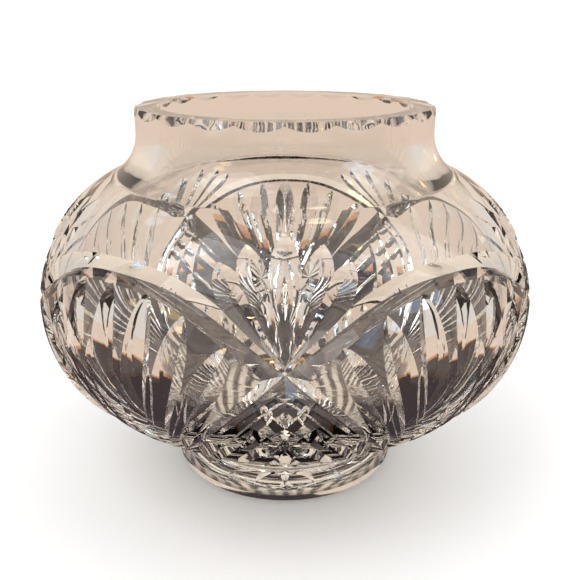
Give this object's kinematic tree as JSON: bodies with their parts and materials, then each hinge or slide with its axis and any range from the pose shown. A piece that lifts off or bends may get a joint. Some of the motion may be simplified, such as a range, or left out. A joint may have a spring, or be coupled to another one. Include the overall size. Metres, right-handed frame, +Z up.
{
  "type": "rose bowl vase",
  "caption": "Footed rose bowl vase of clear cut crystal, with a wide round body, a short neck, a scalloped rim and bands of mitre cuts.",
  "frame": {"origin": "centre of the foot's underside, at the base of the object", "axes": "+Z up along the bowl's axis of symmetry, -Y towards the crossing of two cut bands"},
  "size_m": [0.18, 0.1797, 0.137],
  "materials": {
    "bowl": "polished",
    "foot": "polished"
  },
  "bodies": {
    "root": {"bowl": "bowl", "foot": "foot"}
  },
  "joints": []
}
